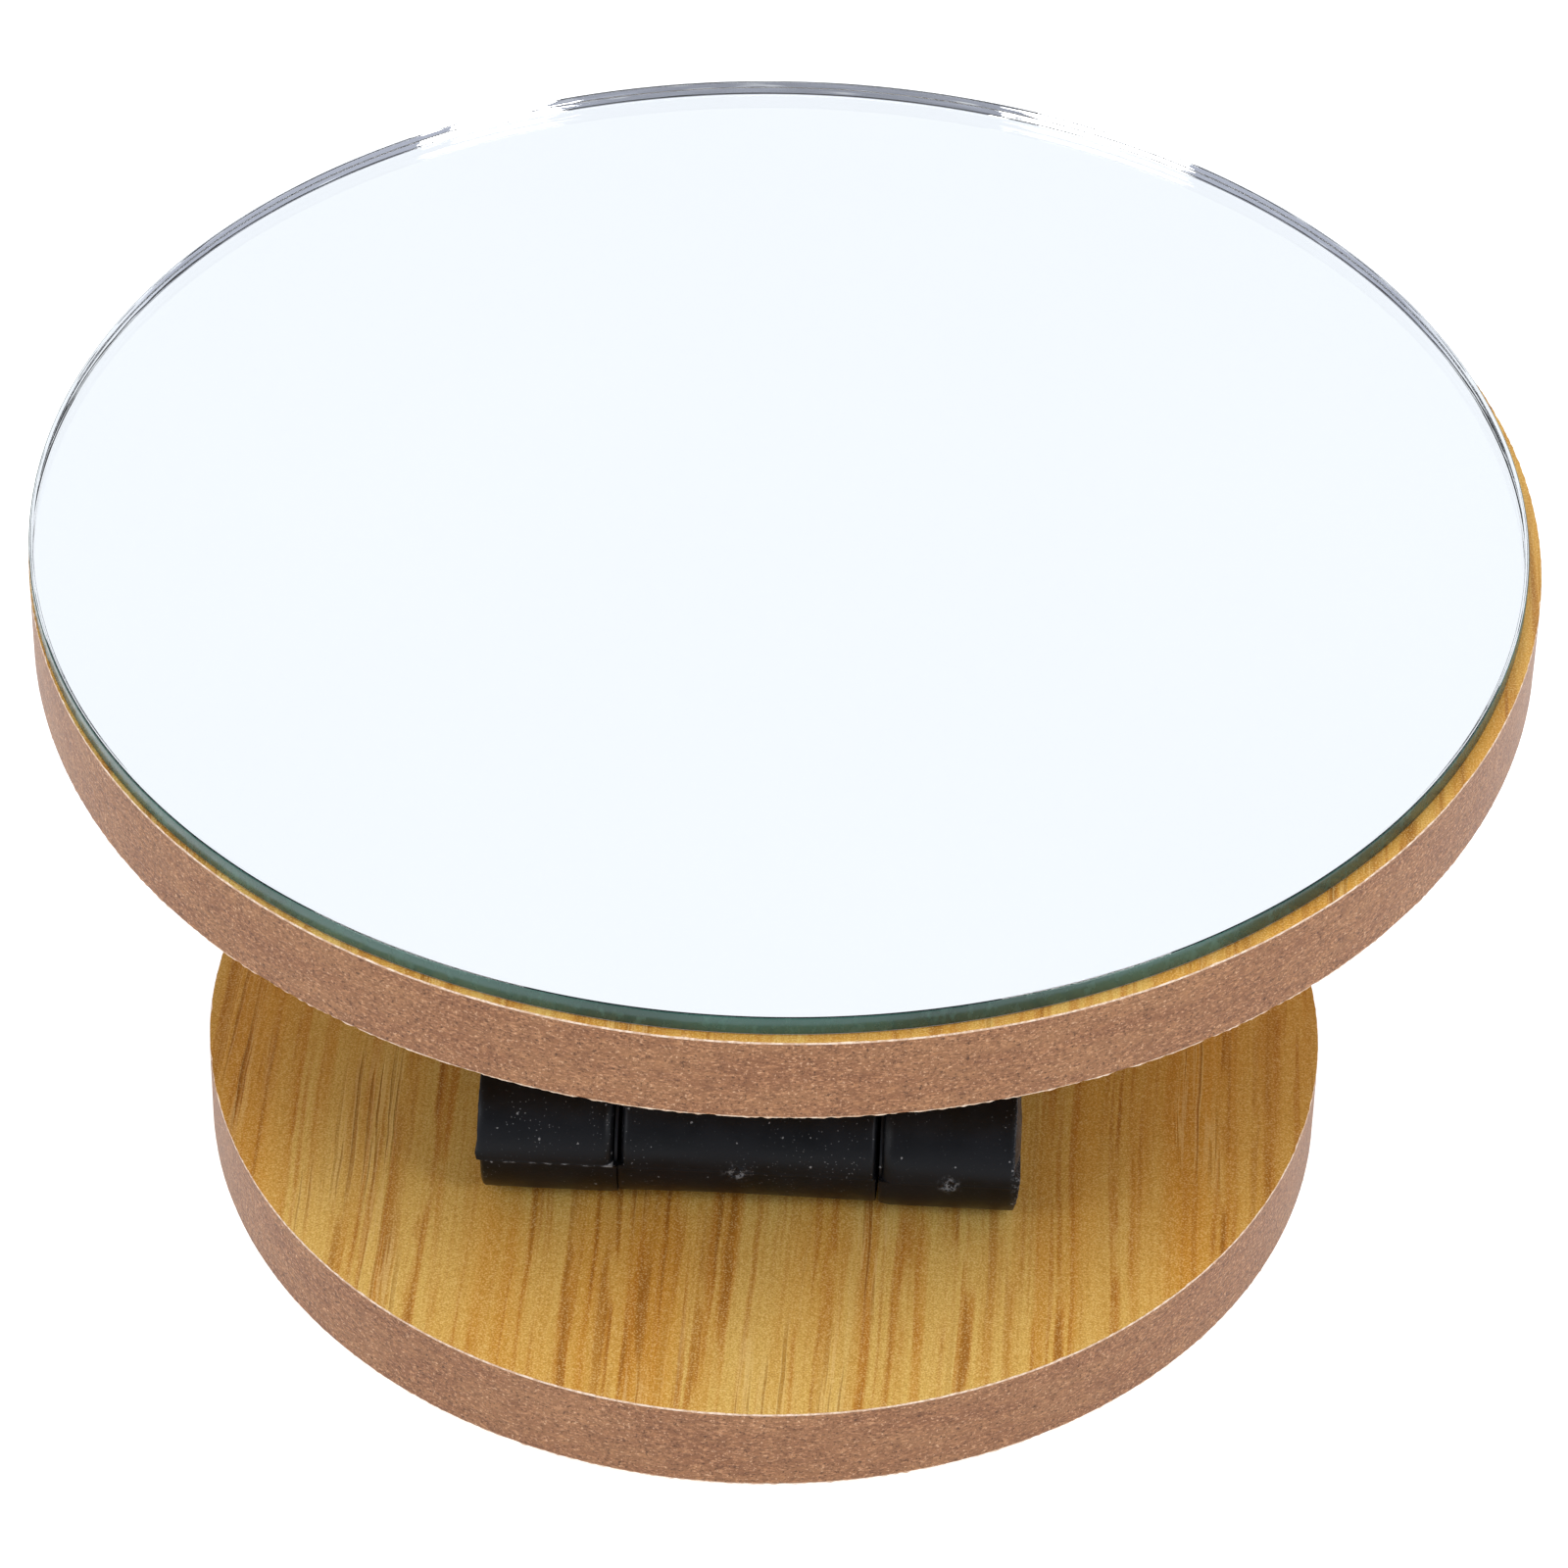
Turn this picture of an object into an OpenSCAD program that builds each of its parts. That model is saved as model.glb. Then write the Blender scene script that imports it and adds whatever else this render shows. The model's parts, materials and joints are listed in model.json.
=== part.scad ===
// Tilting turntable display stand with a round mirror top.
//
// A small round base board carries a three-knuckle hinge. The hinge's upper leaf holds a carrier
// board of the same blank, a thin ball bearing turns on the carrier, and the large top board with
// its mirror turns on the bearing. The rear of the top lifts when the hinge opens.
//
// Frame: millimetres, +Z up, +Y to the rear. The origin is on the table under the base's centre.
// All places are those of the closed hinge.

/* [Boards] */
// Diameter of the base board and of the carrier board
base_d = 147.4; // [144:0.1:150]
// Diameter of the top board
top_d = 200; // [200:1:210]
// Full thickness of each board, laminates included
board_t = 12.7; // [12.2:0.1:14]
// Thickness of the printed laminate on each face of a board
laminate_t = 0.3; // [0.2:0.05:0.5]
// How far the turning axis stands behind the base's centre
top_setback = 39; // [38:1:44]
// Thickness of the anti-slip pad under the base
pad_t = 1.5; // [1:0.5:3]

/* [Mirror] */
// Diameter of the mirror glass
mirror_d = 198; // [190:1:198]
// Thickness of the mirror glass
glass_t = 2.7; // [2:0.1:4]
// Sideways error in the place where the mirror is glued
mirror_dx = -0.86; // [-0.9:0.02:0.9]
// Rearward error in the place where the mirror is glued
mirror_dy = 0.24; // [-0.4:0.02:0.4]

/* [Hinge] */
// Length of the whole barrel
barrel_len = 70; // [66:1:74]
// Outer diameter of the two knuckles that stand on the base
barrel_d = 18; // [17:0.5:19]
// Length of the middle knuckle
middle_len = 33.4; // [30:0.2:36]
// Gap between neighbouring knuckles
knuckle_gap = 0.5; // [0.4:0.05:0.8]
// How far the pin stands in front of the base's centre
pin_setback = 31.2; // [29:0.1:32]
// Diameter of the steel pin
pin_d = 6; // [5:0.5:6]
// Thickness of each leaf
leaf_t = 6; // [5:0.5:7]
// Depth of each leaf behind the pin
leaf_depth = 52; // [50:1:54]

/* [Bearing] */
// Outer diameter of the bearing's plates
plate_d = 112; // [110:1:114]
// Thickness of the pressed plates
plate_t = 1.5; // [1.2:0.1:1.5]
// Diameter of the balls
ball_d = 5; // [5:0.1:5.2]
// Number of balls
ball_count = 18; // [12:1:24]
// Diameter of the circle on which the balls run
ball_circle_d = 80; // [76:1:80]

/* [Hidden] */

// A value this small only makes cuts run past a face
eps = 0.5;
// Clearance of a screw or pin that is seated in its hole
seat = 0.02;
// Clearance between parts that move past each other
swing = 0.3;
// Radial clearance of a shaft that turns in its hole
running = 0.05;

// Heights, from the table up
base_z = pad_t;
hinge_z = base_z + board_t;
barrel_r = barrel_d / 2;
pin_z = hinge_z + barrel_r;
hinge_top_z = pin_z + barrel_r + swing;
carrier_z = hinge_top_z;
bearing_z = carrier_z + board_t;
bearing_h = ball_d + 2 * plate_t;
top_z = bearing_z + bearing_h;
adhesive_t = 0.1;
backing_t = 0.1;
adhesive_z = top_z + board_t;
backing_z = adhesive_z + adhesive_t;
glass_z = backing_z + backing_t;

// Radii and half lengths
base_r = base_d / 2;
top_r = top_d / 2;
pad_r = base_r - 7;
middle_r = barrel_r - swing;
barrel_half = barrel_len / 2;
middle_half = middle_len / 2;
outer_len = barrel_half - middle_half - knuckle_gap;
pin_r = pin_d / 2;
pin_recess = 0.6;
sleeve_wall = 1.4;
sleeve_r = pin_r + running + sleeve_wall;

// Front edge of a leaf where the other leaf's knuckle turns
notch_reach = barrel_r + 2 * swing;
leaf_half = barrel_half - 0.4;
leaf_corner_r = 4;

// Countersunk screws of the leaves
leaf_screw_x = 25;
leaf_screw_rows = [20, 44];
leaf_screw_r = 2;
leaf_head_r = 4;
leaf_head_h = 2.4;
leaf_screw_len = 14;

// Rubber stops that carry the closed upper leaf
bumper_r = 5;
bumper_inset = 6;
bumper_seat = 1.5;
bumper_gap = 0.1;
bumper_x = 15;

// Bearing details
ball_r = ball_d / 2;
race_r = ball_circle_d / 2;
ball_z = bearing_z + bearing_h / 2;
race_half = 5;
race_h = 1.1;
groove_r = ball_r + running;
cage_t = 0.8;
cage_half = 4.5;
plate_r = plate_d / 2;
plate_screw_r = 1.75;
plate_head_r = 3.2;
plate_head_h = 1.7;
plate_screw_len = 9;
plate_screw_ring = plate_r - 6;
access_r = 4.5;
// The plates are dished round the rivet, so that its flanges stay inside them
dish_r = 15;
dish_h = 1.5;
rivet_r = 6;
rivet_bore_r = 4.5;
rivet_flange_r = 10;
rivet_foot_t = 0.7;
rivet_head_t = 0.6;

oak = "#c9a04e";
fibre = "#b58a6e";
black_plastic = "#1a1a1e";
steel = "#b9bcc0";
brass = "#c9a44a";
rubber = "#26262a";

round_fn = 96;
small_fn = 32;

// A plain disc from z up, round the axis at (x, y)
module slab(r, z, h, x = 0, y = 0) {
    translate([x, y, z])
        cylinder(r = r, h = h, $fn = round_fn);
}

// Puts its children round the turning axis
module at_top_axis(z = 0) {
    translate([0, top_setback, z])
        children();
}

// Puts its children on the hinge pin's axis, with Z along it
module along_pin(x) {
    translate([x, -pin_setback, pin_z])
        rotate([0, 90, 0])
            children();
}

// A tube along the pin's axis from x to x + len
module knuckle(x, len, r, bore_r) {
    along_pin(x)
        difference() {
            cylinder(r = r, h = len, $fn = round_fn);
            translate([0, 0, -eps])
                cylinder(r = bore_r, h = len + 2 * eps, $fn = round_fn);
        }
}

// The four places of a leaf's screws
module leaf_screw_places() {
    for (x = [-leaf_screw_x, leaf_screw_x])
        for (row = leaf_screw_rows)
            translate([x, row - pin_setback, 0])
                children();
}

// A screw pointing down, with the flat top of its countersunk head at z = 0
module countersunk_screw(r, head_r, head_h, len) {
    tip_h = 2 * r;
    rim_h = 0.3;
    slot_w = 0.9;
    slot_depth = 1.3;
    difference() {
        union() {
            translate([0, 0, -rim_h])
                cylinder(r = head_r, h = rim_h, $fn = small_fn);
            translate([0, 0, -head_h])
                cylinder(r1 = r, r2 = head_r, h = head_h - rim_h, $fn = small_fn);
            translate([0, 0, tip_h - len])
                cylinder(r = r, h = len - tip_h - head_h, $fn = small_fn);
            translate([0, 0, -len])
                cylinder(r1 = 0.2, r2 = r, h = tip_h, $fn = small_fn);
        }
        cross_recess(slot_w, head_r, slot_depth);
    }
}

// A screw pointing down, with the underside of its flat head at z = 0
module pan_screw(r, head_r, head_h, len) {
    tip_h = 2 * r;
    slot_w = 0.8;
    slot_depth = 1.1;
    difference() {
        union() {
            cylinder(r = head_r, h = head_h, $fn = small_fn);
            translate([0, 0, tip_h - len])
                cylinder(r = r, h = len - tip_h, $fn = small_fn);
            translate([0, 0, -len])
                cylinder(r1 = 0.2, r2 = r, h = tip_h, $fn = small_fn);
        }
        translate([0, 0, head_h])
            cross_recess(slot_w, head_r, slot_depth);
    }
}

// The cross-shaped driver recess of a head whose top is at z = 0
module cross_recess(w, head_r, depth) {
    arm = 1.1 * head_r;
    for (turn = [0, 90])
        rotate([0, 0, turn])
            translate([-arm / 2, -w / 2, -depth])
                cube([arm, w, depth + eps]);
}

// The hole that a countersunk screw sits in
module countersunk_hole(r, head_r, head_h, len) {
    translate([0, 0, -len - seat])
        cylinder(r = r + seat, h = len + seat, $fn = small_fn);
    translate([0, 0, -head_h])
        cylinder(r1 = r + seat, r2 = head_r + seat, h = head_h - 0.3, $fn = small_fn);
    translate([0, 0, -0.3])
        cylinder(r = head_r + seat, h = 0.3 + eps, $fn = small_fn);
}

// A leaf's plate, from its notched front edge back, with rounded rear corners.
// The stretch where the leaf's own knuckles are starts at the pin, and the rest behind the notch.
module leaf_plate(z, own_x) {
    rear_y = leaf_depth - pin_setback;
    front_y = notch_reach - pin_setback;
    translate([-leaf_half, front_y, z])
        cube([2 * leaf_half, rear_y - leaf_corner_r - front_y, leaf_t]);
    translate([leaf_corner_r - leaf_half, rear_y - leaf_corner_r, z])
        cube([2 * (leaf_half - leaf_corner_r), leaf_corner_r, leaf_t]);
    for (side = [-1, 1])
        translate([side * (leaf_half - leaf_corner_r), rear_y - leaf_corner_r, z])
            cylinder(r = leaf_corner_r, h = leaf_t, $fn = small_fn);
    for (span = own_x)
        translate([span[0], -pin_setback, z])
            cube([span[1] - span[0], notch_reach + eps, leaf_t]);
}

module base_pad() {
    color(rubber)
        slab(pad_r, 0, pad_t);
}

module base_board() {
    color(fibre)
        difference() {
            slab(base_r, base_z + laminate_t, board_t - 2 * laminate_t);
            leaf_screw_places()
                translate([0, 0, hinge_z + leaf_t])
                    countersunk_hole(leaf_screw_r, leaf_head_r, leaf_head_h, leaf_screw_len);
        }
}

module base_upper_laminate() {
    color(oak)
        difference() {
            slab(base_r, hinge_z - laminate_t, laminate_t);
            leaf_screw_places()
                translate([0, 0, hinge_z - laminate_t - eps])
                    cylinder(r = leaf_screw_r + seat, h = laminate_t + 2 * eps, $fn = small_fn);
        }
}

module base_lower_laminate() {
    color(oak)
        slab(base_r, base_z, laminate_t);
}

module lower_hinge_leaf() {
    color(black_plastic)
        difference() {
            union() {
                leaf_plate(hinge_z, [
                    [-leaf_half, -middle_half - knuckle_gap],
                    [middle_half + knuckle_gap, leaf_half],
                ]);
                along_pin(-barrel_half)
                    cylinder(r = barrel_r, h = outer_len, $fn = round_fn);
                along_pin(middle_half + knuckle_gap)
                    cylinder(r = barrel_r, h = outer_len, $fn = round_fn);
            }
            along_pin(-barrel_half - eps)
                cylinder(r = pin_r + seat, h = barrel_len + 2 * eps, $fn = round_fn);
            leaf_screw_places()
                translate([0, 0, hinge_z + leaf_t])
                    countersunk_hole(leaf_screw_r, leaf_head_r, leaf_head_h, leaf_screw_len);
            bumper_places()
                translate([0, 0, hinge_z + leaf_t - bumper_seat])
                    cylinder(r = bumper_r + seat, h = bumper_seat + eps, $fn = small_fn);
        }
}

module lower_leaf_screws() {
    color(steel)
        leaf_screw_places()
            translate([0, 0, hinge_z + leaf_t])
                countersunk_screw(leaf_screw_r, leaf_head_r, leaf_head_h, leaf_screw_len);
}

module hinge_pin() {
    color(steel)
        along_pin(pin_recess - barrel_half)
            cylinder(r = pin_r, h = barrel_len - 2 * pin_recess, $fn = round_fn);
}

// Thin black washers that fill the gaps between the knuckles almost to the barrel's surface
module friction_washers() {
    washer_r = middle_r - 0.7;
    washer_t = knuckle_gap - 0.2;
    color(black_plastic)
        for (x = [-middle_half - knuckle_gap, middle_half + knuckle_gap - washer_t])
            knuckle(x, washer_t, washer_r, pin_r + seat);
}

module bumper_places() {
    for (x = [-bumper_x, bumper_x])
        translate([x, leaf_depth - pin_setback - bumper_inset, 0])
            children();
}

module stop_bumpers() {
    foot_z = hinge_z + leaf_t - bumper_seat;
    color(rubber)
        bumper_places()
            translate([0, 0, foot_z])
                cylinder(r = bumper_r, h = hinge_top_z - leaf_t - bumper_gap - foot_z, $fn = small_fn);
}

module upper_hinge_leaf() {
    plate_z = hinge_top_z - leaf_t;
    color(black_plastic)
        difference() {
            union() {
                leaf_plate(plate_z, [[-middle_half, middle_half]]);
                along_pin(-middle_half)
                    cylinder(r = middle_r, h = middle_len, $fn = round_fn);
            }
            along_pin(-middle_half - eps)
                cylinder(r = sleeve_r + seat, h = middle_len + 2 * eps, $fn = round_fn);
            leaf_screw_places()
                translate([0, 0, plate_z])
                    mirror([0, 0, 1])
                        countersunk_hole(leaf_screw_r, leaf_head_r, leaf_head_h, leaf_screw_len);
        }
}

// Nylon sleeve that grips the pin and holds the tilt where it is put
module friction_sleeve() {
    color("#d8d6cc")
        knuckle(-middle_half, middle_len, sleeve_r, pin_r + running);
}

module upper_leaf_screws() {
    color(steel)
        leaf_screw_places()
            translate([0, 0, hinge_top_z - leaf_t])
                mirror([0, 0, 1])
                    countersunk_screw(leaf_screw_r, leaf_head_r, leaf_head_h, leaf_screw_len);
}

// The hole through which the upper plate's screws are reached, one after the other
module access_hole(z, h) {
    at_top_axis(z - eps)
        translate([plate_screw_ring, 0, 0])
            cylinder(r = access_r, h = h + 2 * eps, $fn = small_fn);
}

module carrier_board() {
    core_z = carrier_z + laminate_t;
    core_t = board_t - 2 * laminate_t;
    color(fibre)
        difference() {
            slab(base_r, core_z, core_t, 0, top_setback);
            leaf_screw_places()
                translate([0, 0, hinge_top_z - leaf_t])
                    mirror([0, 0, 1])
                        countersunk_hole(leaf_screw_r, leaf_head_r, leaf_head_h, leaf_screw_len);
            lower_plate_screw_places()
                translate([0, 0, bearing_z + plate_t - plate_screw_len - seat])
                    cylinder(r = plate_screw_r + seat, h = plate_screw_len + 1, $fn = small_fn);
            access_hole(core_z, core_t);
        }
}

module carrier_upper_laminate() {
    color(oak)
        difference() {
            slab(base_r, bearing_z - laminate_t, laminate_t, 0, top_setback);
            lower_plate_screw_places()
                translate([0, 0, bearing_z - laminate_t - eps])
                    cylinder(r = plate_screw_r + seat, h = laminate_t + 2 * eps, $fn = small_fn);
            access_hole(bearing_z - laminate_t, laminate_t);
        }
}

module carrier_lower_laminate() {
    color(oak)
        difference() {
            slab(base_r, carrier_z, laminate_t, 0, top_setback);
            leaf_screw_places()
                translate([0, 0, carrier_z - eps])
                    cylinder(r = leaf_screw_r + seat, h = laminate_t + 2 * eps, $fn = small_fn);
            access_hole(carrier_z, laminate_t);
        }
}

// The lower plate's screws stand between the access hole and its neighbours
module lower_plate_screw_places() {
    at_top_axis()
        for (turn = [45:90:315])
            rotate([0, 0, turn])
                translate([plate_screw_ring, 0, 0])
                    children();
}

module upper_plate_screw_places() {
    at_top_axis()
        for (turn = [0:90:270])
            rotate([0, 0, turn])
                translate([plate_screw_ring, 0, 0])
                    children();
}

// A pressed plate lying at z = 0, with its ball groove and its dish facing up
module bearing_plate(centre_r) {
    difference() {
        union() {
            cylinder(r = plate_r, h = plate_t, $fn = round_fn);
            cylinder(r = race_r + race_half, h = plate_t + race_h, $fn = round_fn);
        }
        translate([0, 0, plate_t])
            cylinder(r = race_r - race_half, h = race_h + eps, $fn = round_fn);
        rotate_extrude($fn = round_fn)
            translate([race_r, plate_t + ball_r])
                circle(r = groove_r, $fn = small_fn);
        translate([0, 0, -eps])
            cylinder(r = dish_r - plate_t, h = plate_t + 2 * eps, $fn = round_fn);
    }
    difference() {
        cylinder(r = dish_r, h = dish_h + plate_t / 2, $fn = round_fn);
        translate([0, 0, -eps])
            cylinder(r = dish_r - plate_t, h = dish_h - plate_t / 2 + eps, $fn = round_fn);
        translate([0, 0, -eps])
            cylinder(r = centre_r, h = dish_h + plate_t + 2 * eps, $fn = round_fn);
    }
}

module bearing_lower_plate() {
    color(steel)
        difference() {
            at_top_axis(bearing_z)
                bearing_plate(rivet_r + seat);
            lower_plate_screw_places()
                translate([0, 0, bearing_z - eps])
                    cylinder(r = plate_screw_r + seat, h = plate_t + 2 * eps, $fn = small_fn);
            access_hole(bearing_z, plate_t);
        }
}

module bearing_lower_screws() {
    color(steel)
        lower_plate_screw_places()
            translate([0, 0, bearing_z + plate_t])
                pan_screw(plate_screw_r, plate_head_r, plate_head_h, plate_screw_len);
}

// Hollow rivet that holds the two plates together, fast in the lower one
module bearing_rivet() {
    grip = dish_h - plate_t / 2;
    shank_top = bearing_h - grip + running;
    color(brass)
        at_top_axis(bearing_z)
            difference() {
                union() {
                    translate([0, 0, grip - rivet_foot_t]) {
                        cylinder(r = rivet_flange_r, h = rivet_foot_t, $fn = round_fn);
                        cylinder(r = rivet_r, h = shank_top - grip + rivet_foot_t, $fn = round_fn);
                    }
                    translate([0, 0, shank_top])
                        cylinder(r = rivet_flange_r, h = rivet_head_t, $fn = round_fn);
                }
                translate([0, 0, -eps])
                    cylinder(r = rivet_bore_r, h = bearing_h + 2 * eps, $fn = round_fn);
            }
}

module ball_places() {
    at_top_axis()
        for (i = [0:ball_count - 1])
            rotate([0, 0, i * 360 / ball_count])
                translate([race_r, 0, 0])
                    children();
}

module ball_cage() {
    color(brass)
        difference() {
            at_top_axis(ball_z - cage_t / 2)
                difference() {
                    cylinder(r = race_r + cage_half, h = cage_t, $fn = round_fn);
                    translate([0, 0, -eps])
                        cylinder(r = race_r - cage_half, h = cage_t + 2 * eps, $fn = round_fn);
                }
            ball_places()
                translate([0, 0, ball_z - cage_t])
                    cylinder(r = ball_r + seat, h = 2 * cage_t, $fn = small_fn);
        }
}

module bearing_balls() {
    color(steel)
        ball_places()
            translate([0, 0, ball_z])
                sphere(r = ball_r, $fn = small_fn);
}

module bearing_upper_plate() {
    color(steel)
        difference() {
            at_top_axis(top_z)
                mirror([0, 0, 1])
                    bearing_plate(rivet_r + running);
            upper_plate_screw_places()
                translate([0, 0, top_z - plate_t - eps])
                    cylinder(r = plate_screw_r + seat, h = plate_t + 2 * eps, $fn = small_fn);
        }
}

module bearing_upper_screws() {
    color(steel)
        upper_plate_screw_places()
            translate([0, 0, top_z - plate_t])
                mirror([0, 0, 1])
                    pan_screw(plate_screw_r, plate_head_r, plate_head_h, plate_screw_len);
}

module top_board() {
    color(fibre)
        difference() {
            slab(top_r, top_z + laminate_t, board_t - 2 * laminate_t, 0, top_setback);
            upper_plate_screw_places()
                translate([0, 0, top_z - plate_t])
                    cylinder(r = plate_screw_r + seat, h = plate_screw_len + seat, $fn = small_fn);
        }
}

module top_upper_laminate() {
    color(oak)
        slab(top_r, adhesive_z - laminate_t, laminate_t, 0, top_setback);
}

module top_lower_laminate() {
    color(oak)
        difference() {
            slab(top_r, top_z, laminate_t, 0, top_setback);
            upper_plate_screw_places()
                translate([0, 0, top_z - eps])
                    cylinder(r = plate_screw_r + seat, h = laminate_t + 2 * eps, $fn = small_fn);
        }
}

// A disc of the mirror's stack, pulled in from the glass's edge by inset
module mirror_layer(z, h, inset) {
    slab(mirror_d / 2 - inset, z, h, mirror_dx, top_setback + mirror_dy);
}

module mirror_adhesive() {
    color("#e6e4dc")
        mirror_layer(adhesive_z, adhesive_t, 4);
}

module mirror_backing() {
    color("#8a8f92")
        mirror_layer(backing_z, backing_t, 0.3);
}

module mirror_glass() {
    color("#dfeef2")
        mirror_layer(glass_z, glass_t, 0);
}

base_pad();
base_board();
base_upper_laminate();
base_lower_laminate();
lower_hinge_leaf();
lower_leaf_screws();
hinge_pin();
friction_washers();
stop_bumpers();
upper_hinge_leaf();
friction_sleeve();
upper_leaf_screws();
carrier_board();
carrier_upper_laminate();
carrier_lower_laminate();
bearing_lower_plate();
bearing_lower_screws();
bearing_rivet();
ball_cage();
bearing_balls();
bearing_upper_plate();
bearing_upper_screws();
top_board();
top_upper_laminate();
top_lower_laminate();
mirror_adhesive();
mirror_backing();
mirror_glass();
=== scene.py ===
"""Looks of the tilting turntable display stand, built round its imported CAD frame.

Everything is in metres in the part's own frame: +Z up, +Y to the rear, the origin on the table under
the base. Each piece is made in mesh code where its CAD node is, and rides on that node's body.
"""

import json
import math

import bmesh
import bpy
from mathutils import Matrix, Vector, noise


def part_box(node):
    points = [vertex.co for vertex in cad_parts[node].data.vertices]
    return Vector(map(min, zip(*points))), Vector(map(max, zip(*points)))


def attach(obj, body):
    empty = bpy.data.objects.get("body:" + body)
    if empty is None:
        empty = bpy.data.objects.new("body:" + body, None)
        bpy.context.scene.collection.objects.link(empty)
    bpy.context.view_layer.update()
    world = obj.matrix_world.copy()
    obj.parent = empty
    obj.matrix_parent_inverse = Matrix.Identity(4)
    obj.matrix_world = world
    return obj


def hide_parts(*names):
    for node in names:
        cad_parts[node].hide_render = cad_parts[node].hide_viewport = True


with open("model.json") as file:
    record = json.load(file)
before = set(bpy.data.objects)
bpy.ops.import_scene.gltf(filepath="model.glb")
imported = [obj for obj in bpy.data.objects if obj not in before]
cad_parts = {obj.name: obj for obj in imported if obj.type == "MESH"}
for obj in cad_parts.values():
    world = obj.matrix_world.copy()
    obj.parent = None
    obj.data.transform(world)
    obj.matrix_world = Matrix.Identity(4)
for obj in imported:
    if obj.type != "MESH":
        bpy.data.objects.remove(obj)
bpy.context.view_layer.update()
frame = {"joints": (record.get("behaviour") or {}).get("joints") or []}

MM = 0.001
TURN = 2 * math.pi
JOINTS = {joint["name"]: joint for joint in frame["joints"]}
PIN = Vector(JOINTS["tilt"]["pos_m"])
TOP_AXIS = Vector(JOINTS["spin"]["pos_m"])


# ---------------------------------------------------------------- node materials

def tint(code):
    """The linear colour of an sRGB code such as "#b4886c"."""
    parts = [int(code[i:i + 2], 16) / 255 for i in (1, 3, 5)]
    return [c / 12.92 if c <= 0.04045 else ((c + 0.055) / 1.055) ** 2.4 for c in parts] + [1.0]


class Graph:
    """A node tree in the making, with short ways to add and link its nodes."""

    def __init__(self, tree, coordinates):
        self.tree = tree
        self.place = self.node("ShaderNodeTexCoord").outputs[coordinates]

    def node(self, kind, **settings):
        made = self.tree.nodes.new(kind)
        for key, value in settings.items():
            setattr(made, key, value)
        return made

    def feed(self, socket, value):
        """Links a socket to another node's output, or sets it to a plain value."""
        if isinstance(value, bpy.types.NodeSocket):
            self.tree.links.new(value, socket)
        else:
            socket.default_value = value

    def stretch(self, x, y, z, vector=None, turn=0.0):
        """The place scaled along each axis: x, y and z are features per metre."""
        made = self.node("ShaderNodeMapping")
        self.feed(made.inputs["Vector"], vector or self.place)
        made.inputs["Scale"].default_value = (x, y, z)
        made.inputs["Rotation"].default_value = (0, 0, turn)
        return made.outputs["Vector"]

    def noise(self, vector, detail=2.0, rough=0.5):
        made = self.node("ShaderNodeTexNoise")
        self.feed(made.inputs["Vector"], vector)
        made.inputs["Scale"].default_value = 1.0
        made.inputs["Detail"].default_value = detail
        made.inputs["Roughness"].default_value = rough
        return made.outputs["Fac"]

    def cells(self, vector):
        """Distance to the nearest of many scattered points."""
        made = self.node("ShaderNodeTexVoronoi", feature="F1")
        self.feed(made.inputs["Vector"], vector)
        made.inputs["Scale"].default_value = 1.0
        return made.outputs["Distance"]

    def math(self, operation, a, b=0.0, clamp=False):
        made = self.node("ShaderNodeMath", operation=operation, use_clamp=clamp)
        self.feed(made.inputs[0], a)
        self.feed(made.inputs[1], b)
        return made.outputs["Value"]

    def between(self, value, low, high, out_low=0.0, out_high=1.0):
        """Maps low..high smoothly to out_low..out_high, and holds the ends."""
        made = self.node("ShaderNodeMapRange", interpolation_type="SMOOTHSTEP")
        self.feed(made.inputs["Value"], value)
        for key, number in (("From Min", low), ("From Max", high),
                            ("To Min", out_low), ("To Max", out_high)):
            made.inputs[key].default_value = number
        return made.outputs["Result"]

    def blend(self, share, a, b):
        """Colour a turning into colour b as share goes from 0 to 1."""
        made = self.node("ShaderNodeMix", data_type="RGBA", blend_type="MIX")
        self.feed(made.inputs["Factor"], share)
        self.feed(made.inputs[6], a)
        self.feed(made.inputs[7], b)
        return made.outputs[2]

    def bump(self, height, depth, strength, normal=None):
        """Relief of the given depth in metres."""
        made = self.node("ShaderNodeBump")
        self.feed(made.inputs["Height"], height)
        made.inputs["Strength"].default_value = strength
        made.inputs["Distance"].default_value = depth
        if normal is not None:
            self.feed(made.inputs["Normal"], normal)
        return made.outputs["Normal"]

    def axis(self, name):
        """One coordinate of the place."""
        made = self.node("ShaderNodeSeparateXYZ")
        self.feed(made.inputs[0], self.place)
        return made.outputs[name]

    def near(self, spot, reach):
        """1 at a spot of the piece's space, falling to 0 at a distance from it."""
        made = self.node("ShaderNodeVectorMath", operation="DISTANCE")
        self.feed(made.inputs[0], self.place)
        made.inputs[1].default_value = spot
        return self.between(made.outputs["Value"], 0.0, reach, 1.0, 0.0)

    def times(self, *values):
        """The product of several values."""
        product = values[0]
        for value in values[1:]:
            product = self.math("MULTIPLY", product, value)
        return product

    def plus(self, *values):
        """The sum of several values, held to 1."""
        total = values[0]
        for value in values[1:]:
            total = self.math("ADD", total, value, clamp=True)
        return total


class Look(Graph):
    """A material. Its pattern lies in the piece's own space, in metres."""

    def __init__(self, name):
        self.material = bpy.data.materials.new(name)
        self.material.use_nodes = True
        super().__init__(self.material.node_tree, "Object")
        self.shader = self.tree.nodes["Principled BSDF"]

    def set(self, **values):
        """Feeds the shader's sockets, named with _ for a space."""
        for key, value in values.items():
            self.feed(self.shader.inputs[key.replace("_", " ")], value)
        return self


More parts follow.
